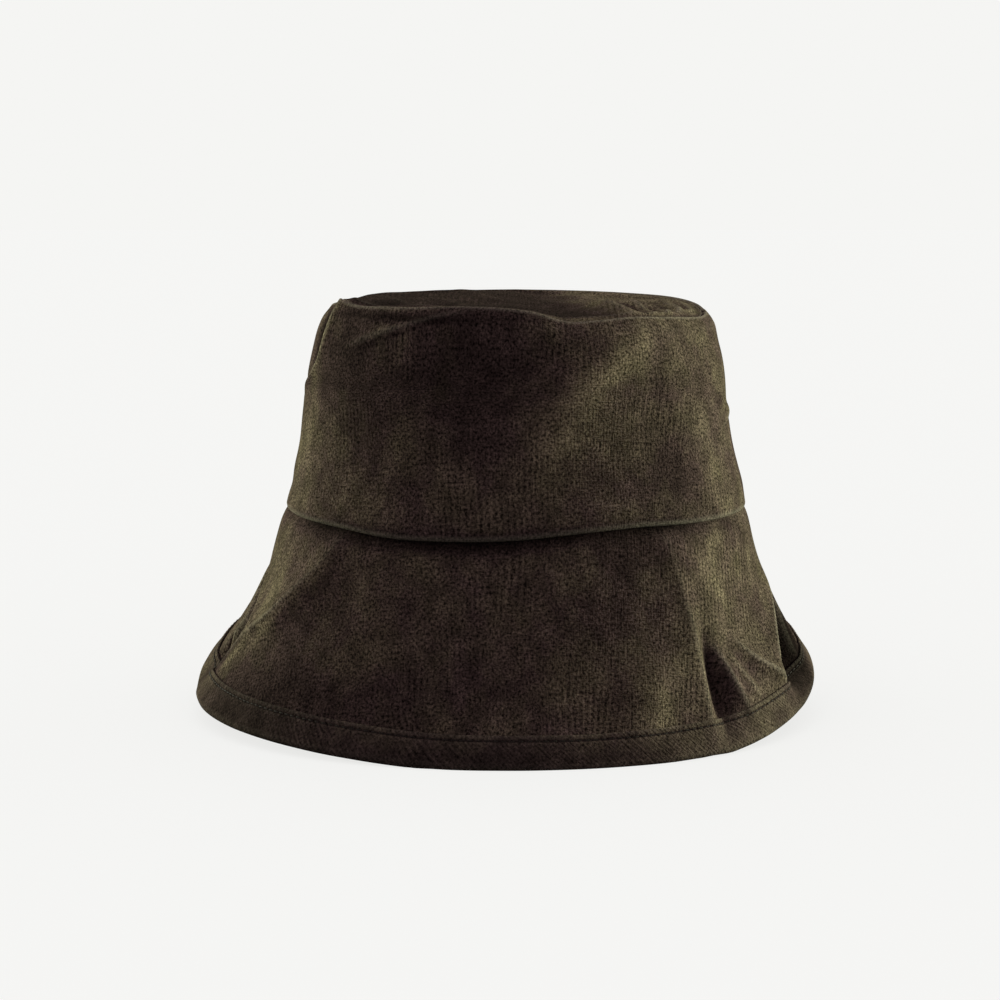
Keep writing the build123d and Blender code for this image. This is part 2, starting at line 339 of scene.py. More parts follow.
def painted_light(points):
    """Doublings of the cloth's paleness at points in space, as painted light and shade: painted highlights
    where folds face the lamps, painted shade on slopes turned away, in hollow places and under the crown's
    fold, and both over the top.

    A point's fall is 0 at the top seam, 1 at the crown's fold and 2 at the brim's edge.
    """
    x, y, z = points.T
    t = np.degrees(np.arctan2(x, -y))
    fold = FOLD_Z + fold_rise(t)
    fall = np.where(z > fold, (SEAM_TOP_Z - z) / (SEAM_TOP_Z - fold), 2 - z / fold)
    radius = np.hypot(x, y)
    on_top = ease((CROWN_A[0][1] - 1 - radius) / 3) * (z > FOLD_Z)
    near_middle = on_top * (1 - ease(radius / TOP_REACH))
    total = 0 * t
    for angle, place, wide, tall, lean, amount in PAINTED_LIGHT_PATCHES:
        below = fall - place
        patch = amount * bell((wrap(t - angle) - lean * below) / wide) * bell(below / tall)
        total += patch * (1 - (on_top if wide < NARROW else near_middle))
    # painted shade on the top's left and in the hollow behind the front seam, and painted light on its right
    painted_top_shade = 0.9 - 1.3 * ease((x - 5 + 0.2 * (y - 35)) / 28)
    painted_top_shade += 0.6 * bell((x - 13) / 24) * bell((y + 50) / 34)
    return total - on_top * painted_top_shade


# ---- grids, plies and meshes ----
def normals(points):
    """Outward unit normals of a grid of points, over (angle, share)."""
    n = np.cross(np.gradient(points, axis=1), np.gradient(points, axis=0))
    return n / np.linalg.norm(n, axis=-1, keepdims=True)


def surface(base, relief, t, s, depth=0.0):
    """Points depth mm under a panel's right side, over a grid of angles and shares."""
    plain = base(t, s)
    points = plain + normals(plain) * relief(t, s)[..., None]
    return points - normals(points) * np.broadcast_to(depth, t.shape)[..., None]


def crown_surface(t, s, depth=0.0):
    return surface(crown_base, crown_relief, t, s, depth)


def brim_surface(t, s, depth=0.0):
    return surface(brim_base, brim_relief, t, s, depth)


def grid(start, end, s, count):
    """(angles, shares) of count columns between two borders, whose angles may change with the share."""
    start, end = np.broadcast_to(start, s.shape), np.broadcast_to(end, s.shape)
    k = np.linspace(0, 1, count)[:, None]
    return start + (end - start) * k, np.broadcast_to(s, (count, len(s)))


def turned(edge, out, along, radius, steps=6):
    """Rows of points over a folded edge, from its right side to the back of the fold."""
    rows = []
    for phi in np.linspace(0, math.pi, steps + 1)[1:]:
        rows.append(edge + radius * (out * (math.cos(phi) - 1) + along * math.sin(phi)))
    return np.stack(rows, axis=1)


def unit(v):
    return v / np.linalg.norm(v, axis=-1, keepdims=True)


def bulge(points):
    """How sharply a grid bulges to its right side at each point, in 1/mm, softened over its neighbours."""
    n = normals(points)
    total = 0
    for axis in (0, 1):
        step = np.linalg.norm(np.gradient(points, axis=axis), axis=-1)
        bend = np.gradient(np.gradient(points, axis=axis), axis=axis)
        total = total - (bend * n).sum(-1) / np.maximum(step, 0.1) ** 2
    for axis in (0, 1):
        total = (np.roll(total, 1, axis) + 2 * total + np.roll(total, -1, axis)) / 4
    total[:2], total[-2:], total[:, :2], total[:, -2:] = 0, 0, 0, 0
    return total


def store(mesh, name, values):
    """Keeps one value for each point of a mesh, for its material to read."""
    layer = mesh.attributes.new(name, "FLOAT", "POINT")
    layer.data.foreach_set("value", values.astype(np.float32).ravel())


def make_mesh(name, points, faces, uv, material, curvature=None, painted_light_level=1.0):
    """A mesh piece; its last argument is the share of the painted light and shade that it shows."""
    mesh = bpy.data.meshes.new(name)
    mesh.from_pydata((points * MM).tolist(), [], faces)
    mesh.polygons.foreach_set("use_smooth", np.ones(len(mesh.polygons), bool))
    layer = mesh.uv_layers.new(name="cloth")
    loops = np.zeros(len(mesh.loops), np.int32)
    mesh.loops.foreach_get("vertex_index", loops)
    layer.data.foreach_set("uv", uv[loops].astype(np.float32).ravel())
    if curvature is not None:
        store(mesh, "curvature", curvature)
    # the painted light and shade, as doublings of paleness for the material to read
    store(mesh, "painted_light", painted_light_level * painted_light(points))
    mesh.materials.append(material)
    piece = bpy.data.objects.new(name, mesh)
    bpy.context.scene.collection.objects.link(piece)
    return piece


def quads(rows, columns, start=0, flip=False):
    i, j = np.meshgrid(np.arange(rows - 1), np.arange(columns - 1), indexing="ij")
    a = start + (i * columns + j).ravel()
    faces = np.stack([a, a + 1, a + columns + 1, a + columns], 1)
    return faces[:, ::-1] if flip else faces


def lengths(points):
    """Distances along a line of points, from its first point."""
    return np.concatenate([[0], np.cumsum(np.linalg.norm(np.diff(points, axis=0), axis=-1))])


def laid_flat(right, cone):
    """The panel's cut as a plane layout: a ring's sector, whose radius grows by cone for each mm down."""
    rows, columns = right.shape[:2]
    middle_row, middle_column = right[:, columns // 2], right[rows // 2]
    turn = np.unwrap(np.arctan2(right[..., 0], -right[..., 1]), axis=0)
    along_row = lengths(middle_row)
    middle_turn = turn[:, columns // 2]
    around = np.interp(turn, middle_turn, along_row - along_row[-1] / 2)
    beyond = np.maximum(turn - middle_turn[-1], 0) + np.minimum(turn - middle_turn[0], 0)
    around = around + beyond * along_row[-1] / (middle_turn[-1] - middle_turn[0])
    down = np.broadcast_to(lengths(middle_column), around.shape)
    if not cone:
        return np.stack([around, down], -1)
    middle = np.linalg.norm(middle_row[rows // 2, :2]) / cone
    radius = middle + down - down[0, columns // 2]
    angle = around / middle
    return np.stack([radius * np.sin(angle), radius * np.cos(angle)], -1)


def ply(name, right, thickness, material, cone=0.0, painted_light_level=1.0):
    """A closed sheet of cloth under a grid of points on its right side."""
    rows, columns = right.shape[:2]
    wrong = right - normals(right) * thickness
    count = rows * columns
    border = np.concatenate([
        np.arange(columns),
        np.arange(1, rows) * columns + columns - 1,
        (rows - 1) * columns + np.arange(columns - 2, -1, -1),
        np.arange(rows - 2, 0, -1) * columns,
    ])
    after = np.roll(border, -1)
    rim = np.stack([border, border + count, after + count, after], 1)
    faces = np.concatenate([quads(rows, columns), quads(rows, columns, count, flip=True), rim])
    uv = laid_flat(right, cone).reshape(-1, 2)
    curvature = bulge(right).ravel()
    points = np.concatenate([right.reshape(-1, 3), wrong.reshape(-1, 3)])
    curvature = np.concatenate([curvature, np.zeros(count)])
    piece = make_mesh(name, points, faces[:, ::-1].tolist(), np.concatenate([uv, uv]), material, curvature, painted_light_level)
    low, high = uv.min(0), uv.max(0)
    piece["flat"] = [float(x) for x in (high - low) * MM]
    corners = uv[quads(rows, columns)]
    across, along = corners[:, 2] - corners[:, 0], corners[:, 3] - corners[:, 1]
    area = np.abs(across[:, 0] * along[:, 1] - across[:, 1] * along[:, 0]).sum() / 2
    piece["flat_area"] = float(area * MM * MM)
    return piece


def round_sheet(name, right, thickness, material):
    """A closed sheet from rings of points round a middle, the first ring innermost."""
    n = normals(np.concatenate([right[-1:], right, right[:1]]))[1:-1]
    wrong = right - n * thickness
    rows, columns = right.shape[:2]
    count = rows * columns
    i = np.arange(rows)
    after = (i + 1) % rows
    faces = []
    for j in range(columns - 1):
        here, beside = i * columns + j, after * columns + j
        strip = np.stack([here, beside, beside + 1, here + 1], 1)
        faces += strip.tolist() + (strip + count)[:, ::-1].tolist()
    last = columns - 1
    rim = np.stack([i * columns + last, after * columns + last,
                    after * columns + last + count, i * columns + last + count], 1)
    faces += rim.tolist()
    hub = 2 * count
    faces += np.stack([np.full(rows, hub), after * columns, i * columns], 1).tolist()
    faces += np.stack([np.full(rows, hub + 1), i * columns + count, after * columns + count], 1).tolist()
    points = np.concatenate([right.reshape(-1, 3), wrong.reshape(-1, 3), right[None, :, 0].mean(1),
                             wrong[None, :, 0].mean(1)])
    out = unit(right[..., :2])
    reach = np.concatenate([np.linalg.norm(right[:, :1, :2], axis=-1),
                            np.linalg.norm(np.diff(right, axis=1), axis=-1)], 1).cumsum(1)
    flat = (out * reach[..., None]).reshape(-1, 2)
    uv = np.concatenate([flat, flat, np.zeros((2, 2))])
    curvature = np.concatenate([bulge(right).ravel(), np.zeros(count + 2)])
    piece = make_mesh(name, points, faces, uv, material, curvature)
    size = (flat.max(0) - flat.min(0)) * MM
    piece["flat"] = [float(x) for x in size]
    piece["flat_area"] = float(size[0] * size[1] * math.pi / 4)
    return piece


def stitches(name, rows, material, pitch=3.2, length=2.6, radius=0.22, sides=6, rings=7):
    """Rows of separate stitches. A row is (points, outward normals) along a path on the cloth."""
    q = np.linspace(-1, 1, rings)
    turn = np.linspace(0, 2 * math.pi, sides, endpoint=False)
    points, uv, faces = [], [], []
    for path, out in rows:
        at = lengths(path)
        centres = (np.arange(int(at[-1] / pitch)) + 0.5) * at[-1] / int(at[-1] / pitch)
        where = centres[:, None] + q * length / 2

        def along(values):
            return np.stack([np.interp(where, at, values[:, k]) for k in range(3)], -1)

        centre, normal = along(path), unit(along(out))
        side = unit(np.cross(unit(np.gradient(centre, axis=1)), normal))
        arch = radius * (0.9 - 1.7 * q ** 4)
        thick = radius * np.sqrt(1.02 - q ** 6)
        ring = (normal[:, :, None] * np.cos(turn)[:, None] + side[:, :, None] * np.sin(turn)[:, None])
        body = (centre + normal * arch[:, None])[:, :, None] + ring * thick[:, None, None]
        start = sum(len(p) for p in points)
        n = len(centres)
        index = start + np.arange(n * rings * sides).reshape(n, rings, sides)
        after = np.roll(index, -1, axis=2)
        wall = np.stack([index[:, :-1], after[:, :-1], after[:, 1:], index[:, 1:]], -1)
        faces += wall.reshape(-1, 4).tolist() + index[:, 0, ::-1].tolist() + index[:, -1].tolist()
        points.append(body.reshape(-1, 3))
        length_uv = np.broadcast_to(where[:, :, None], (n, rings, sides))
        turn_uv = np.broadcast_to(turn * radius, (n, rings, sides))
        uv.append(np.stack([length_uv, turn_uv], -1).reshape(-1, 2))
    return make_mesh(name, np.concatenate(points), faces, np.concatenate(uv), material)


# ---- materials ----
class Fabric:
    """A fabric material being built. Each method adds a node and returns its output socket."""

    def __init__(self, name, roughness, sheen, tint, specular):
        self.material = bpy.data.materials.new(name)
        self.material.use_nodes = True
        self.tree = self.material.node_tree
        self.shader = self.tree.nodes["Principled BSDF"]
        self.shader.inputs["Roughness"].default_value = roughness
        self.shader.inputs["Specular IOR Level"].default_value = specular
        self.shader.inputs["Sheen Weight"].default_value = sheen
        self.shader.inputs["Sheen Roughness"].default_value = 0.5
        self.shader.inputs["Sheen Tint"].default_value = (*tint, 1)
        layout = self.add("ShaderNodeUVMap")
        layout.uv_map = "cloth"
        self.cloth = layout.outputs[0]

    def add(self, kind, **inputs):
        node = self.tree.nodes.new(kind)
        for name, value in inputs.items():
            self.feed(node.inputs[name.replace("_", " ")], value)
        return node

    def feed(self, socket, value):
        if isinstance(value, bpy.types.NodeSocket):
            self.tree.links.new(value, socket)
        else:
            socket.default_value = value

    def scaled(self, across, down, turn=0.0):
        """The cloth's layout, turned by so many degrees and scaled to cycles per mm."""
        turned_layout = self.add("ShaderNodeMapping", Vector=self.cloth, Rotation=(0, 0, math.radians(turn)))
        sized = self.add("ShaderNodeMapping", Vector=turned_layout.outputs[0], Scale=(across, down, 1))
        return sized.outputs[0]

    def noise(self, vector, detail=2.0, roughness=0.5, distortion=0.0):
        node = self.add("ShaderNodeTexNoise", Vector=vector, Scale=1.0, Detail=detail, Roughness=roughness,
                        Distortion=distortion)
        return node.outputs[0]

    def calc(self, operation, a, b=0.0, c=0.0):
        node = self.tree.nodes.new("ShaderNodeMath")
        node.operation = operation
        for socket, value in zip(node.inputs, (a, b, c)):
            self.feed(socket, value)
        return node.outputs[0]

    def spread(self, value, low, high, to_low, to_high):
        """A value between low and high brought to the range from to_low to to_high."""
        node = self.add("ShaderNodeMapRange", Value=value, From_Min=low, From_Max=high, To_Min=to_low,
                        To_Max=to_high)
        return node.outputs[0]

    def ribs(self, vector, wander=0.0, seed=None):
        """Ridges across a layout scaled to cycles, between 0 and 1, bent by a noise socket."""
        split = self.add("ShaderNodeSeparateXYZ", Vector=vector)
        place = split.outputs[0]
        if seed is not None:
            place = self.calc("MULTIPLY_ADD", seed, wander, place)
        wave = self.calc("SINE", self.calc("MULTIPLY", place, 2 * math.pi))
        return self.calc("MULTIPLY_ADD", wave, 0.5, 0.5)

    def blend(self, factor, a, b, how="MIX"):
        node = self.tree.nodes.new("ShaderNodeMix")
        node.data_type = "RGBA"
        node.blend_type = how
        self.feed(node.inputs[0], factor)
        for socket, value in ((node.inputs[6], a), (node.inputs[7], b)):
            self.feed(socket, (*value, 1) if isinstance(value, tuple) else value)
        return node.outputs[2]

    def dimmed(self, colour, factor):
        """A colour multiplied by a value socket."""
        grey = self.add("ShaderNodeCombineColor", Red=factor, Green=factor, Blue=factor)
        return self.blend(1.0, colour, grey.outputs[0], "MULTIPLY")

    def stored(self, name):
        """A value stored at the mesh's points."""
        node = self.tree.nodes.new("ShaderNodeAttribute")
        node.attribute_name = name
        return node.outputs["Fac"]

    def finish(self, colour, height, distance):
        bump = self.add("ShaderNodeBump", Height=height, Distance=distance * MM, Strength=1.0)
        self.feed(self.shader.inputs["Base Color"], colour)
        self.feed(self.shader.inputs["Normal"], bump.outputs[0])
        return self.material


# pale yarn for crests, standing partly for worn yarn and partly for painted highlight
WORN_AND_LIT_YARN = (0.25, 0.22, 0.165)


def cotton(name, dark, light, bias=0.0, rib=0.06, wear_and_highlight=0.4, speck=1.0):
    """Washed brushed cotton with fine ribs and heathered yarn, and painted light and shade: the painted light
    and shade stored at the points, painted shade in hollow places, and pale crests that are partly worn yarn
    and partly painted highlight.

    bias turns the yarn, in degrees; the other three are the strengths of its ribs, of its pale crests (worn
    yarn and painted highlight) and of its speckle.
    """
    fabric = Fabric(name, 0.97, 0.01, (0.75, 0.75, 0.55), specular=0.0)
    patches = fabric.noise(fabric.scaled(0.045, 0.035), detail=3.0, roughness=0.65)
    blots = fabric.noise(fabric.scaled(0.12, 0.09), detail=3.0, roughness=0.65)
    # painted shade in hollow places, seams and grooves, where the cloth bulges inward
    painted_hollow_shade = fabric.spread(fabric.stored("curvature"), -0.5, -0.04, -1.0, 0.0)
    # the stored painted light and shade, together with the painted shade of hollow places
    painted_light_level = fabric.calc("ADD", fabric.stored("painted_light"), painted_hollow_shade)
    # doublings of shade: random blots plus the painted light and shade
    shade = fabric.calc("MULTIPLY_ADD", fabric.calc("SUBTRACT", blots, 0.5), 3.0, painted_light_level)
    # the colour runs from the dark brown to the olive with random patches and in part with the painted light
    # and shade, so the olive partly stands for lit cloth
    olive = fabric.spread(fabric.calc("MULTIPLY_ADD", painted_light_level, 0.3, patches), 0.34, 0.68, 0.0, 1.0)
    colour = fabric.blend(olive, dark, light)
    grain = fabric.noise(fabric.scaled(1.0, 0.85, bias), detail=3.0, roughness=0.75)
    warp = fabric.noise(fabric.scaled(1.5, 0.16, bias), detail=2.0)
    weft = fabric.noise(fabric.scaled(0.2, 1.5, bias), detail=2.0)
    bend = fabric.noise(fabric.scaled(0.02, 0.02), detail=1.0)
    ribs = fabric.ribs(fabric.scaled(0.78, 0.0, bias), 1.2, bend)
    sway = fabric.noise(fabric.scaled(0.016, 0.012), detail=1.0)
    lines = fabric.ribs(fabric.scaled(0.42, 0.0, bias), 9.0, sway)
    zone = fabric.spread(fabric.noise(fabric.scaled(0.03, 0.016), detail=1.0), 0.5, 0.62, 0.0, 1.0)
    faint = fabric.calc("MULTIPLY", zone, 0.55)
    faint_lines = fabric.calc("MULTIPLY", fabric.calc("SUBTRACT", lines, 0.5), faint)
    slubs = fabric.spread(warp, 0.3, 0.7, -0.2, 0.2)
    yarn = fabric.calc("ADD", slubs, fabric.spread(weft, 0.3, 0.7, -0.16, 0.16))
    speckle = fabric.spread(grain, 0.27, 0.73, 1.02 - 1.62 * speck, 1.02 + 1.62 * speck)
    tone = fabric.calc("ADD", fabric.calc("ADD", speckle, yarn), faint_lines)
    tone = fabric.calc("MULTIPLY_ADD", fabric.calc("SUBTRACT", ribs, 0.5), rib, tone)
    # the doublings of shade darken or brighten the tone: random blots, painted light and painted shade
    tone = fabric.calc("MULTIPLY", fabric.calc("MAXIMUM", tone, 0.12), fabric.calc("POWER", 2.0, shade))
    colour = fabric.dimmed(colour, tone)
    # pale crests where the cloth bulges outward: partly worn yarn, partly painted highlight
    worn_and_lit_crest = fabric.spread(fabric.stored("curvature"), 0.06, 0.6, 0.0, wear_and_highlight)
    worn_and_lit_crest = fabric.calc("MULTIPLY", worn_and_lit_crest, fabric.spread(grain, 0.35, 0.6, 0.3, 1.0))
    colour = fabric.blend(worn_and_lit_crest, colour, WORN_AND_LIT_YARN)
    height = fabric.calc("ADD", fabric.calc("ADD", grain, fabric.calc("MULTIPLY", yarn, 0.8)),
                         fabric.calc("MULTIPLY", ribs, rib))
    return fabric.finish(colour, height, 0.6)


def plain_weave(name, dark, light, count, sheen=0.1, rib=0.0):
    """A flat weave with count yarns per mm; rib adds ridges up the tape."""
    fabric = Fabric(name, 0.85, sheen, (0.8, 0.78, 0.7), 0.2)
    patches = fabric.noise(fabric.scaled(0.06, 0.06), detail=3.0)
    warp = fabric.ribs(fabric.scaled(count, 0.0))
    weft = fabric.ribs(fabric.scaled(count, 0.0, 90.0))
    slub = fabric.noise(fabric.scaled(0.25, 1.6), detail=2.0)
    weave = fabric.calc("MULTIPLY", warp, weft)
    ridges = fabric.ribs(fabric.scaled(0.7, 0.0))
    height = fabric.calc("ADD", fabric.calc("ADD", weave, slub), fabric.calc("MULTIPLY", ridges, rib))
    colour = fabric.blend(fabric.spread(patches, 0.35, 0.65, 0.0, 1.0), dark, light)
    colour = fabric.dimmed(colour, fabric.spread(height, 0.2, 1.6 + rib, 0.6, 1.35))
    return fabric.finish(colour, height, 0.15)


def felted(name, dark, light):
    """Non-woven stiffener: pale random fibres."""
    fabric = Fabric(name, 0.95, 0.1, (1, 1, 0.95), 0.15)
    fibres = fabric.noise(fabric.scaled(1.1, 0.5, 30.0), detail=4.0, roughness=0.7, distortion=1.5)
    colour = fabric.blend(fabric.spread(fibres, 0.35, 0.65, 0.0, 1.0), dark, light)
    return fabric.finish(colour, fibres, 0.2)


def twisted(name, dark, light):
    """Sewing thread, with its plies twisted round each other."""
    fabric = Fabric(name, 0.8, 0.05, (0.8, 0.75, 0.6), 0.08)
    strands = fabric.ribs(fabric.scaled(1.6, 1.6, 40.0))
    fuzz = fabric.noise(fabric.scaled(3.0, 3.0), detail=2.0)
    colour = fabric.blend(strands, dark, light)
    colour = fabric.dimmed(colour, fabric.spread(fuzz, 0.3, 0.7, 0.7, 1.3))
    return fabric.finish(colour, fabric.calc("ADD", strands, fuzz), 0.08)


outer_cotton = cotton("outer_cotton", (0.042, 0.0285, 0.0245), (0.06, 0.048, 0.031))
bias_tape = cotton("bias_binding", (0.042, 0.03, 0.025), (0.06, 0.048, 0.032), bias=45.0, rib=0.14, wear_and_highlight=0.08,
                   speck=0.65)
outer_thread = twisted("outer_thread", (0.012, 0.0095, 0.0075), (0.026, 0.021, 0.016))
stiffener = felted("interlining", (0.5, 0.48, 0.42), (0.66, 0.64, 0.58))
lining_cloth = plain_weave("lining_cloth", (0.026, 0.023, 0.018), (0.042, 0.038, 0.03), 1.4, sheen=0.15)
band_cloth = plain_weave("sweatband_tape", (0.016, 0.0145, 0.0125), (0.028, 0.025, 0.021), 1.2, rib=1.2)
inner_thread = twisted("inner_thread", (0.03, 0.027, 0.022), (0.06, 0.054, 0.044))
label_cloth = plain_weave("label_tape", (0.42, 0.4, 0.34), (0.55, 0.53, 0.46), 1.6)


# ---- crown pieces ----
WALL_SHARES = np.linspace(0, 1, 116)
CROWN_CONE = 0.17
BRIM_CONE = 0.34
FRONT, BACK = 0, 180


def crown_borders(middle, s):
    """Angles of a crown panel's two side borders at each share."""
    if middle == FRONT:
        return left_seam(s) + SEAM_TURN, 90 - SEAM_TURN + 0 * s
    return 90 + SEAM_TURN + 0 * s, 360 + left_seam(s) - SEAM_TURN


def crown_panel(name, middle, columns=300):
    """Half of the crown's side, with its top edge turned in and its lower edge folded under."""
    start, end = crown_borders(middle, WALL_SHARES)
    wall = crown_surface(*grid(start, end, WALL_SHARES, columns))
    out = normals(wall)
    turn = CLOTH + 0.1
    up = unit(wall[:, 0] - wall[:, 1])
    top_fold = turned(wall[:, 0], out[:, 0], up, turn)[:, ::-1]
    tucked_shares = np.linspace(0.012, 0.1, 8)
    start, end = crown_borders(middle, tucked_shares)
    inside = crown_surface(*grid(start, end, tucked_shares, columns), 2 * turn)[:, ::-1]
    bottom_out = unit(out[:, -1] * [1, 1, 0])
    bottom_fold = turned(wall[:, -1], bottom_out, np.array([0.0, 0.0, -1.0]), 1.7, 8)
    tucked = bottom_fold[:, -1][:, None] + np.linspace(1, 8, 6)[None, :, None] * [0, 0, 1]
    right = np.concatenate([inside, top_fold, wall, bottom_fold, tucked], axis=1)
    return ply(name, right, CLOTH, outer_cotton, CROWN_CONE)


TOP_WRINKLES = [  # x at the back, x at the front, height, half width, share of its middle, half length
    (26, 47, 3.2, 5.0, 0.64, 0.36), (41, 57, 2.7, 2.8, 0.54, 0.26), (47, 65, 1.9, 2.2, 0.74, 0.2),
    (60, 69, 2.8, 2.8, 0.6, 0.28), (68, 77, 2.0, 2.3, 0.7, 0.2), (-70, -38, 1.6, 5.0, 0.6, 0.42),
    (-46, -10, 1.3, 5.0, 0.6, 0.42), (-20, 22, 0.9, 4.0, 0.2, 0.3),
]
TOP_BACK, TOP_FRONT = 60, -66  # y at the two ends of the wrinkles


def top_relief(x, y):
    """Height of the top's sag and wrinkles over a flat top."""
    relief = -1.4 * bell(np.hypot(x + 12, y + 10) / 50) - 2.2 * bell((x - 10) / 20) * bell((y + 38) / 22)
    span = np.clip((TOP_BACK - y) / (TOP_BACK - TOP_FRONT), -0.3, 1.3)
    for back, front, height, wide, middle, reach in TOP_WRINKLES:
        crest = back + (front - back) * span
        relief = relief + height * bell((x - crest) / wide) * bell((span - middle) / reach)
    relief = relief + 0.7 * np.sin(x / 9 + y / 21) * np.sin(y / 8 - x / 30)
    return relief


TOP_TILT = -0.033  # rise of the top for each mm to the right


def top_rings(rim, level, relief, shoulder):
    """Rings of points over a nearly flat top whose edge, after a shoulder of such height, meets the rim."""
    shares = np.concatenate([np.linspace(0.015, 0.9, 62), np.linspace(0.915, 1.0, 14)])
    rings = []
    turn = np.radians(round_angles())
    reach = np.abs(rim[:, :2]).max(0)
    oval = np.stack([reach[0] * np.sin(turn), -reach[1] * np.cos(turn), 0 * turn], -1)
    for k in shares:
        ring = (oval + (rim * [1, 1, 0] - oval) * k ** 6) * k
        flat = level + TOP_TILT * ring[:, 0]
        rounding = shoulder * bell((k - 0.94) / 0.035) * (1 - k ** 30)
        ring[:, 2] = flat + (rim[:, 2] - flat) * k ** 7 + rounding
        ring[:, 2] += relief(ring[:, 0], ring[:, 1]) * ease((1 - k) / 0.1)
        rings.append(ring)
    return np.stack(rings, 1)


def turned_down(rings, fold, drop, lean):
    """Rings with an edge rolled over and turned down, leaning out by lean for each mm of drop."""
    rim = rings[:, -1]
    inward = -unit(rim * [1, 1, 0])
    roll = [rim - inward * fold * math.sin(p) + [0, 0, fold * (math.cos(p) - 1)]
            for p in np.linspace(0, math.pi / 2, 6)[1:]]
    end = roll[-1]
    skirt = [end + d * (np.array([0, 0, -1.0]) - lean * inward) for d in np.linspace(1, drop, 6)]
    return np.concatenate([rings, np.stack(roll, 1), np.stack(skirt, 1)], 1)


def round_angles():
    return np.linspace(-180, 180, 360, endpoint=False)


def crown_rim(depth, share=0.0):
    """A ring of points so deep under the crown's right side, at a share down its wall."""
    t, s = np.meshgrid(round_angles(), np.array([share, share + 0.01]), indexing="ij")
    wall = crown_surface(t, s)[:, 0]
    return wall - unit(wall * [1, 1, 0]) * depth


def crown_top():
    """The crown's top, sagging a little between its seam, with its edge turned down in the seam."""
    rim = crown_rim(2.3) + [0, 0, 0.1]
    rings = top_rings(rim, TOP_Z + 0.1, top_relief, 0.9)
    return round_sheet("crown_top_cloth", turned_down(rings, 0.6, 8, 0.3), CLOTH, outer_cotton)


# ---- brim pieces ----
def brim_panel(name, middle, depth, thickness, material, inset, start=-0.08, end=1.0, columns=360, rows=126,
               painted_light_level=1.0):
    """One ply of half the brim, whose side edges stop inset degrees from the side seams."""
    s = np.linspace(start, end, rows)
    t, s = grid(middle - 90 + inset, middle + 90 - inset, s, columns)
    return ply(name, brim_surface(t, s, depth), thickness, material, BRIM_CONE, painted_light_level)


SLANT = 86.0  # length of the brim from the crown to its edge
TAPE_START = 1 - BINDING_WIDTH / SLANT
TAPE_TURN = 4.0  # width of the tape's folded allowance
RING_GAP = 0.1  # degrees left at the join of a band, at the back


def tape_groove(s):
    """Dip of the tape under its row of stitches."""
    line = TAPE_START + STITCH_INSET / SLANT
    return 0.3 * bell((s - line) / (0.55 / SLANT))


def on_floor(points):
    """Cloth that would sink into the table lies flat on it."""
    points = points.copy()
    points[..., 2] = np.maximum(points[..., 2], 0.05)
    return points


def binding(columns=720):
    """Bias tape folded round the brim's edge, each border turned under."""
    half_fold = (TAPE_STAND - 0.1) / 2
    face_shares = np.linspace(TAPE_START, 1, 34)
    turn_shares = np.linspace(TAPE_START, TAPE_START + TAPE_TURN / SLANT, 6)
    span = (-180 + RING_GAP, 180 - RING_GAP)
    t, s = grid(*span, face_shares, columns)
    ripple = 0.12 * np.sin(np.radians(t) * 240) * bell((s - TAPE_START) / (2.5 / SLANT))
    outside = brim_surface(t, s, -TAPE_STAND + tape_groove(s) + ripple)
    inside = brim_surface(t, s, BRIM_STACK + TAPE_STAND - tape_groove(s) - ripple)
    t, s = grid(*span, turn_shares, columns)
    outer_turn = brim_surface(t, s, -0.1)[:, ::-1]
    inner_turn = brim_surface(t, s, BRIM_STACK + 0.1)
    out = normals(outside)
    up = unit(outside[:, 0] - outside[:, 1])
    outer_fold = turned(outside[:, 0], out[:, 0], up, half_fold, 5)[:, ::-1]
    inner_up = unit(inside[:, 0] - inside[:, 1])
    inner_fold = turned(inside[:, 0], -normals(inside)[:, 0], inner_up, half_fold, 5)
    edge_radius = (BRIM_STACK + 2 * TAPE_STAND) / 2
    edge_fold = turned(outside[:, -1], out[:, -1], unit(outside[:, -1] - outside[:, -2]), edge_radius, 10)
    right = np.concatenate([outer_turn, outer_fold, outside, edge_fold, inside[:, ::-1][:, 1:], inner_fold,
                            inner_turn], axis=1)
    return ply("edge_binding_tape", on_floor(right), TAPE, bias_tape)


def binding_stitches():
    """The row of stitches through the binding, seen on its outside and its inside."""
    line = TAPE_START + STITCH_INSET / SLANT
    t, s = grid(-180, 180, np.array([line - 0.01, line, line + 0.01]), 1440)
    groove = tape_groove(line)
    outside = brim_surface(t, s, -TAPE_STAND + groove)
    inside = brim_surface(t, s, BRIM_STACK + TAPE_STAND - groove)
    out = normals(outside)[:, 1]
    rows = [(outside[:, 1], out), (inside[:, 1], -out)]
    return stitches("binding_stitches", rows, outer_thread)


# ---- threads of the seams ----
def brim_left_seam(s):
    """Angle of the brim's left side seam, which is upright."""
    return 0 * s - 90


def side_seam_stitches(name, place, angle, start, end, depth):
    """Stitches down both side seams, between the two panels' turned edges."""
    s = np.linspace(start, end, 90)
    rows = []
    for seam in (90 + 0 * s, angle(s)):
        t, shares = grid(seam - 1, seam + 1, s, 3)
        path = place(t, shares, depth)
        rows.append((path[1], normals(path)[1]))
    return stitches(name, rows, outer_thread, radius=0.17)


def level_stitches(name, path, out, material):
    path = np.concatenate([path, path[:1]])
    out = np.concatenate([out, out[:1]])
    return stitches(name, [(path, out)], material, radius=0.18)


def crown_top_stitches():
    path = crown_rim(2.0, 0.05)
    return level_stitches("crown_top_seam_stitches", path, unit(path * [1, 1, 0]), outer_thread)


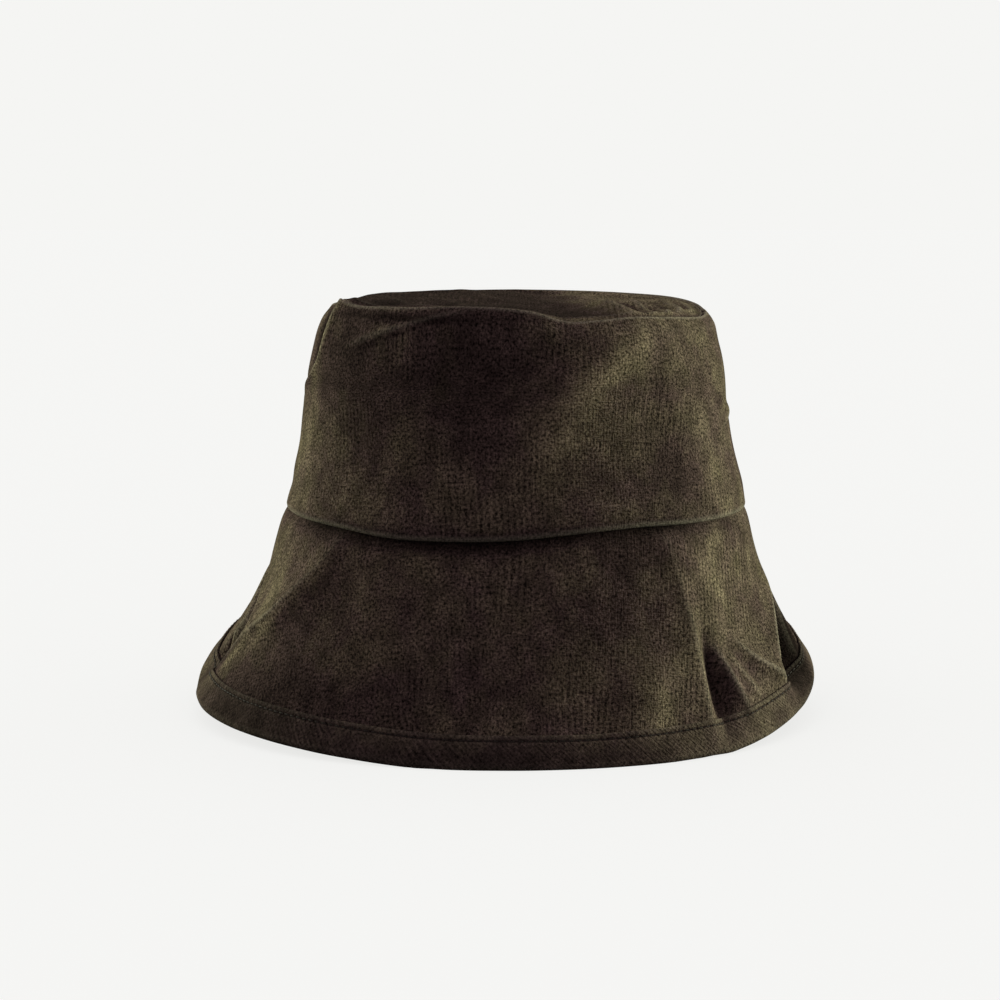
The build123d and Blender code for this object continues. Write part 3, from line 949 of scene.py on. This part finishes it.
def head_seam_stitches():
    t = np.radians(round_angles())
    height = FOLD_Z + 4 + fold_rise(round_angles())
    path = np.stack([(SEAM_A + 0.1) * np.sin(t), -(SEAM_A + OVAL - 0.7) * np.cos(t), height], -1)
    return level_stitches("head_seam_stitches", path, unit(path * [1, 1, 0]), outer_thread)


# ---- inside the crown ----
LINING_DEPTH = [(0, 2.9), (0.1, 2.4), (0.25, 2.0), (0.5, 1.9), (0.65, 1.9), (0.8, 2.6), (0.9, 3.8), (1, 6.2)]
LINING_TOP_SHARE = 0.035
LINING_END_SHARE = 0.965


def lining_surface(t, s):
    slack = waves(t, s, 17, 0.35, 5, 22, 10, 18) * ease((s - LINING_TOP_SHARE) / 0.1) * ease((0.66 - s) / 0.1)
    return crown_surface(t, s, smooth(s, LINING_DEPTH) + 0.4 * ease((0.66 - s) / 0.1) - slack)


def lining_panel(name, middle):
    s = np.linspace(LINING_TOP_SHARE, LINING_END_SHARE, 90)
    t, s = grid(middle - 90 + SEAM_TURN, middle + 90 - SEAM_TURN, s, 240)
    return ply(name, lining_surface(t, s), LINING, lining_cloth, CROWN_CONE)


def lining_sag(x, y):
    return -1.2 * bell(np.hypot(x, y) / 55) + 0.35 * np.sin(x / 11 + 1) * np.sin(y / 8 + x / 40)


def lining_rim(share):
    t, s = np.meshgrid(round_angles(), np.array([share, share + 0.01]), indexing="ij")
    return lining_surface(t, s)[:, 0]


def lining_top():
    rim = lining_rim(LINING_TOP_SHARE)
    rim = rim - unit(rim * [1, 1, 0]) * 0.9
    rings = top_rings(rim, TOP_Z - 4.6, lining_sag, 0.0)
    return round_sheet("lining_top_cloth", turned_down(rings, 0.4, 7, 0.25), LINING, lining_cloth)


def lining_stitches():
    path = lining_rim(LINING_TOP_SHARE + 0.04)
    inner = path - unit(path * [1, 1, 0]) * (LINING + 0.6)
    return level_stitches("lining_top_seam_stitches", inner, -unit(path * [1, 1, 0]), inner_thread)


BAND_LEAN = 2.5


def band_base(t, s, inset=0.0):
    """Points so far inside the sweatband's outer face, which leans in a little at the top."""
    a = BAND_A - BAND_LEAN * (1 - s) - inset
    b = BAND_B - BAND_LEAN * (1 - s) - inset
    ease_in = waves(t, s, 23, 0.12, 3, 12) * (1 - s)
    angle = np.radians(t)
    z = BAND_HIGH + (BAND_LOW - BAND_HIGH) * s
    return np.stack([(a - ease_in) * np.sin(angle), -(b - ease_in) * np.cos(angle), z], -1)


def sweatband():
    t, s = grid(-180 + RING_GAP, 180 - RING_GAP, np.linspace(0, 1, 34), 420)
    return ply("sweatband_cloth", band_base(t, s), SWEATBAND, band_cloth)


def sweatband_stitches():
    share = 1 - 1.8 / (BAND_HIGH - BAND_LOW)
    t = round_angles()
    path = band_base(t, 0 * t + share, SWEATBAND)
    return level_stitches("sweatband_stitches", path, -unit(path * [1, 1, 0]), inner_thread)


LABEL_HALF_WIDTH = 13.5
LABEL_SHARES = (0.17, 0.7)


def label():
    """A blank woven label over the join of the sweatband, its free middle standing off a little."""
    turn = math.degrees(LABEL_HALF_WIDTH / BAND_B)
    t, s = grid(180 - turn, 180 + turn, np.linspace(*LABEL_SHARES, 24), 60)
    across = (t - 180) / turn
    stand = 0.25 + 0.5 * (1 - across ** 4) * (0.6 + 0.4 * np.sin(s * 9))
    points = band_base(t, s)
    inner = points - unit(points * [1, 1, 0]) * (SWEATBAND + stand)[..., None]
    return ply("inside_label_cloth", inner, LABEL, label_cloth)


# ---- the pieces, and the CAD nodes that they stand for ----
hat = bpy.data.collections.new("hat")  # what the studio's lights fall on


def show(piece, node):
    hat.objects.link(piece)
    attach(piece, "root")
    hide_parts(node)


HALVES = (("front", FRONT), ("back", BACK))
CORE_DEPTH = CLOTH + PLY_GAP
UNDER_DEPTH = CORE_DEPTH + INTERLINING + PLY_GAP
UPPER_INSET, CORE_INSET = 0.02, 1.5  # degrees from the brim's side seams
for place, middle in HALVES:
    side = crown_panel(f"crown_{place}_cloth", middle)
    show(side, f"crown_{place}_panel")
show(crown_top(), "crown_top_panel")
for place, middle in HALVES:
    upper = brim_panel(f"brim_{place}_cloth", middle, 0, CLOTH, outer_cotton, UPPER_INSET)
    core = brim_panel(f"brim_{place}_stiffener", middle, CORE_DEPTH, INTERLINING, stiffener, CORE_INSET,
                      start=0.02, end=0.99, columns=240, rows=90)
    # the brim's underside shows a quarter of the painted light and shade
    under = brim_panel(f"brim_under_{place}_cloth", middle, UNDER_DEPTH, CLOTH, outer_cotton, 0, painted_light_level=0.25)
    show(upper, f"brim_top_{place}_panel")
    show(core, f"brim_interlining_{place}_panel")
    show(under, f"brim_under_{place}_panel")
show(binding(), "brim_edge_binding")
for place, middle in HALVES:
    side = lining_panel(f"lining_{place}_cloth", middle)
    show(side, f"lining_{place}_panel")
show(lining_top(), "lining_top_panel")
show(sweatband(), "sweatband")
show(label(), "inside_label")

show(binding_stitches(), "brim_edge_binding_thread")
crown_sides = side_seam_stitches("crown_side_seam_stitches", crown_surface, left_seam, 0.02, 0.98, 1.2)
show(crown_sides, "crown_side_seam_threads")
for layer, depth in (("top", 0.6), ("under", BRIM_STACK - 0.1)):
    threads = side_seam_stitches(f"brim_{layer}_side_seam_stitches", brim_surface, brim_left_seam, 0.04, 0.97,
                                 depth)
    show(threads, f"brim_{layer}_side_seam_threads")
show(crown_top_stitches(), "crown_top_seam_thread")
show(head_seam_stitches(), "head_seam_thread")
show(lining_stitches(), "lining_top_seam_thread")
show(sweatband_stitches(), "sweatband_thread")


# ---- stage, lights and camera, in metres ----
HAT_MIDDLE = (0, 0, 0.08)
PAPER = (0.913, 0.913, 0.896, 1)
PAPER_GLOW = 0.86  # share of the paper's paleness that is its own, so that the hat's shadow on it is faint
PAPER_DYE = (0.22, 0.253, 0.227, 1)  # colour that the light on the paper adds
AMBIENT = 0.6  # share of the studio's paleness that falls on the hat
AMBIENT_TINT = (1, 0.87, 0.97)
LIGHT_SIDE = 0.7
LIGHT_COLOUR = (0.91, 1.0, 0.78)
FLOOR_HALF = 6
CAMERA_PLACE = (-0.0066, -1.2, 0.2403)
CAMERA_DIP = 7.25  # degrees below the level
CAMERA_LENS = 104.1  # in millimetres, for a sensor of the width below
CAMERA_SENSOR = 36


def add_light(name, place, power):
    """A square lamp aimed at the hat, with its power in watts."""
    data = bpy.data.lights.new(name, "AREA")
    data.shape = "SQUARE"
    data.size = LIGHT_SIDE
    data.energy = power
    data.color = LIGHT_COLOUR
    light = bpy.data.objects.new(name, data)
    bpy.context.scene.collection.objects.link(light)
    light.location = place
    aim = Vector(HAT_MIDDLE) - Vector(place)
    light.rotation_euler = aim.to_track_quat("-Z", "Y").to_euler()
    light.light_linking.receiver_collection = hat


add_light("key_right", (1.3, 0.32, 0.27), 53)
add_light("key_left", (-1.15, 0.8, 0.25), 61)

world = bpy.data.worlds.new("studio")
bpy.context.scene.world = world
world.use_nodes = True
tree = world.node_tree
seen = tree.nodes["Background"]
seen.inputs["Color"].default_value = PAPER
fill = tree.nodes.new("ShaderNodeBackground")
fill.inputs["Color"].default_value = (*(tint * AMBIENT for tint in AMBIENT_TINT), 1)
ray = tree.nodes.new("ShaderNodeLightPath")
choice = tree.nodes.new("ShaderNodeMixShader")
tree.links.new(ray.outputs["Is Camera Ray"], choice.inputs[0])
tree.links.new(fill.outputs[0], choice.inputs[1])
tree.links.new(seen.outputs[0], choice.inputs[2])
tree.links.new(choice.outputs[0], tree.nodes["World Output"].inputs["Surface"])

floor_mesh = bpy.data.meshes.new("floor")
floor_corners = [(x * FLOOR_HALF, y * FLOOR_HALF, 0) for x, y in ((-1, -1), (1, -1), (1, 1), (-1, 1))]
floor_mesh.from_pydata(floor_corners, [], [(0, 1, 2, 3)])
floor = bpy.data.objects.new("floor", floor_mesh)
bpy.context.scene.collection.objects.link(floor)
paper = bpy.data.materials.new("floor_paper")
paper.use_nodes = True
sheet_of_paper = paper.node_tree.nodes["Principled BSDF"]
sheet_of_paper.inputs["Base Color"].default_value = PAPER_DYE
sheet_of_paper.inputs["Roughness"].default_value = 1
sheet_of_paper.inputs["Specular IOR Level"].default_value = 0
sheet_of_paper.inputs["Emission Color"].default_value = PAPER
camera_ray = paper.node_tree.nodes.new("ShaderNodeLightPath")
glow = paper.node_tree.nodes.new("ShaderNodeMath")
glow.operation = "MULTIPLY"
glow.inputs[1].default_value = PAPER_GLOW
paper.node_tree.links.new(camera_ray.outputs["Is Camera Ray"], glow.inputs[0])
paper.node_tree.links.new(glow.outputs[0], sheet_of_paper.inputs["Emission Strength"])
floor_mesh.materials.append(paper)

camera_data = bpy.data.cameras.new("camera")
camera_data.lens = CAMERA_LENS
camera_data.sensor_width = CAMERA_SENSOR
camera = bpy.data.objects.new("camera", camera_data)
bpy.context.scene.collection.objects.link(camera)
camera.location = CAMERA_PLACE
camera.rotation_euler = (math.radians(90 - CAMERA_DIP), 0, 0)
bpy.context.scene.camera = camera
bpy.context.scene.view_settings.view_transform = "Standard"
